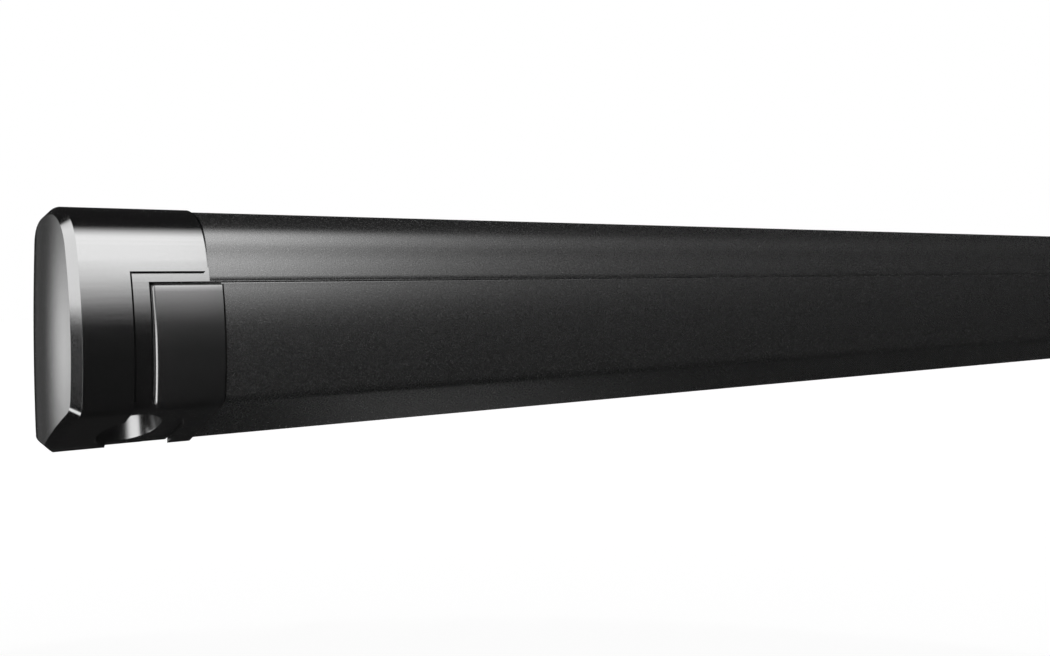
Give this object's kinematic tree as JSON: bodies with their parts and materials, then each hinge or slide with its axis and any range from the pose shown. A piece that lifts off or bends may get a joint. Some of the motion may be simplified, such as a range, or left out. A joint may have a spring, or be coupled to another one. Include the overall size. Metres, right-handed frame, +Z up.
{
  "type": "roll out awning",
  "caption": "Wall-hung cassette awning for a camper, closed: D-shaped housing, lead rail, folding arms, canopy roller, crank drive and stowed support legs.",
  "frame": {"origin": "on the wall plane, midway between the four bolts of the outer wall brackets", "axes": "+X along the cassette towards its plain end, +Y into the wall, +Z up; the crank is at the -X end"},
  "size_m": [2.6, 0.112, 0.137],
  "materials": {
    "anthracite_coat": "fine matt powder coat with a faint sparkle",
    "gloss_black": "polished moulding",
    "satin_black": "satin moulding",
    "cast_alloy": "painted die casting",
    "steel": "zinc plated",
    "anodised_alloy": "anodised",
    "canopy_fabric": "coated woven fabric",
    "foot_rubber": "moulded"
  },
  "bodies": {
    "housing": {"housing_shell": "anthracite_coat", "housing_cap_left": "gloss_black", "housing_cap_right": "gloss_black", "end_frame_left": "satin_black", "end_frame_right": "satin_black", "crank_funnel": "gloss_black", "gearbox_housing": "cast_alloy", "bearing_block": "cast_alloy", "shoulder_bracket_left": "cast_alloy", "shoulder_bracket_right": "cast_alloy", "shoulder_pins": "steel", "wall_brackets": "cast_alloy"},
    "roller": {"roller_tube": "anodised_alloy", "roller_plugs": "satin_black", "wound_canopy": "canopy_fabric"},
    "crank_input": {"crank_shaft": "steel"},
    "upper_arm_left": {"upper_arm_left": "anodised_alloy", "shoulder_eye_left": "cast_alloy", "elbow_fork_left": "cast_alloy", "elbow_pin_left": "steel"},
    "forearm_left": {"forearm_left": "anodised_alloy", "elbow_eye_left": "cast_alloy", "wrist_eye_left": "cast_alloy"},
    "upper_arm_right": {"upper_arm_right": "anodised_alloy", "shoulder_eye_right": "cast_alloy", "elbow_fork_right": "cast_alloy", "elbow_pin_right": "steel"},
    "forearm_right": {"forearm_right": "anodised_alloy", "elbow_eye_right": "cast_alloy", "wrist_eye_right": "cast_alloy"},
    "lead_rail": {"lead_rail": "anthracite_coat", "rail_cap_left": "satin_black", "rail_cap_right": "satin_black", "wrist_bracket_left": "cast_alloy", "wrist_bracket_right": "cast_alloy", "wrist_pins": "steel", "leg_pins": "steel", "canopy_edge": "canopy_fabric"},
    "canopy": {"canopy_tail": "canopy_fabric"},
    "leg_left": {"leg_tube_left": "anodised_alloy", "leg_head_left": "satin_black", "leg_collar_left": "satin_black"},
    "leg_lever_left": {"leg_lever_left": "satin_black"},
    "leg_inner_left": {"leg_inner_left": "anodised_alloy", "leg_shoe_left": "satin_black"},
    "foot_left": {"foot_left": "foot_rubber"},
    "leg_right": {"leg_tube_right": "anodised_alloy", "leg_head_right": "satin_black", "leg_collar_right": "satin_black"},
    "leg_lever_right": {"leg_lever_right": "satin_black"},
    "leg_inner_right": {"leg_inner_right": "anodised_alloy", "leg_shoe_right": "satin_black"},
    "foot_right": {"foot_right": "foot_rubber"}
  },
  "joints": [
    {"name": "shoulder_left", "type": "hinge", "parent": "housing", "child": "upper_arm_left", "pos_m": [-1.192, -0.026, -0.0185], "axis": [0, 0.1219, -0.9925], "range_deg": [0, 60]},
    {"name": "elbow_left", "type": "hinge", "parent": "upper_arm_left", "child": "forearm_left", "pos_m": [-0.04, -0.0389, -0.02008], "axis": [0, 0.1219, -0.9925], "range_deg": [-121, 1]},
    {"name": "wrist_left", "type": "hinge", "parent": "forearm_left", "child": "lead_rail", "pos_m": [-1.192, -0.05181, -0.02167], "axis": [0, 0.1219, -0.9925], "range_deg": [-1, 61]},
    {"name": "shoulder_right", "type": "hinge", "parent": "housing", "child": "upper_arm_right", "pos_m": [1.192, -0.026, -0.0185], "axis": [0, 0.1219, -0.9925], "range_deg": [-61, 1]},
    {"name": "elbow_right", "type": "hinge", "parent": "upper_arm_right", "child": "forearm_right", "pos_m": [0.04, -0.0389, -0.02008], "axis": [0, 0.1219, -0.9925], "range_deg": [-1, 121]},
    {"name": "roller_spin", "type": "hinge", "parent": "housing", "child": "roller", "pos_m": [0, -0.049, 0.025], "axis": [1, 0, 0], "range_deg": [-5, 4181]},
    {"name": "crank_turn", "type": "hinge", "parent": "housing", "child": "crank_input", "pos_m": [-1.258, -0.078, -0.01], "axis": [0, 0, 1], "range_deg": [-5, 33413]},
    {"name": "canopy_run", "type": "slide", "parent": "lead_rail", "child": "canopy", "axis": [0, 0.9925, 0.1219], "range_m": [-0.002, 1.9843]},
    {"name": "leg_left_swing", "type": "hinge", "parent": "lead_rail", "child": "leg_left", "pos_m": [-1.178, -0.04583, -0.055], "axis": [0, 1, 0], "range_deg": [0, 90]},
    {"name": "leg_left_slide", "type": "slide", "parent": "leg_left", "child": "leg_inner_left", "axis": [1, 0, 0], "range_m": [0, 1]},
    {"name": "leg_left_lock", "type": "hinge", "parent": "leg_left", "child": "leg_lever_left", "pos_m": [0.088, -0.04583, -0.0656], "axis": [0, -1, 0], "range_deg": [0, 75]},
    {"name": "foot_left_fold", "type": "hinge", "parent": "leg_inner_left", "child": "foot_left", "pos_m": [0.116, -0.04583, -0.055], "axis": [0, 1, 0], "range_deg": [0, 90]},
    {"name": "leg_right_swing", "type": "hinge", "parent": "lead_rail", "child": "leg_right", "pos_m": [1.178, -0.02423, -0.055], "axis": [0, -1, 0], "range_deg": [0, 90]},
    {"name": "leg_right_slide", "type": "slide", "parent": "leg_right", "child": "leg_inner_right", "axis": [-1, 0, 0], "range_m": [0, 1]},
    {"name": "leg_right_lock", "type": "hinge", "parent": "leg_right", "child": "leg_lever_right", "pos_m": [-0.088, -0.02423, -0.0656], "axis": [0, 1, 0], "range_deg": [0, 75]},
    {"name": "foot_right_fold", "type": "hinge", "parent": "leg_inner_right", "child": "foot_right", "pos_m": [-0.116, -0.02423, -0.055], "axis": [0, -1, 0], "range_deg": [0, 90]}
  ],
  "couplings": [
    {"joint": "elbow_left", "follows": "shoulder_left", "ratio": -2},
    {"joint": "wrist_left", "follows": "shoulder_left", "ratio": 1},
    {"joint": "shoulder_right", "follows": "shoulder_left", "ratio": -1},
    {"joint": "elbow_right", "follows": "shoulder_left", "ratio": 2},
    {"joint": "canopy_run", "follows": "shoulder_left", "m_per_rad": 1.893},
    {"joint": "roller_spin", "follows": "shoulder_left", "ratio": 69.6},
    {"joint": "crank_turn", "follows": "shoulder_left", "ratio": 556.8}
  ]
}
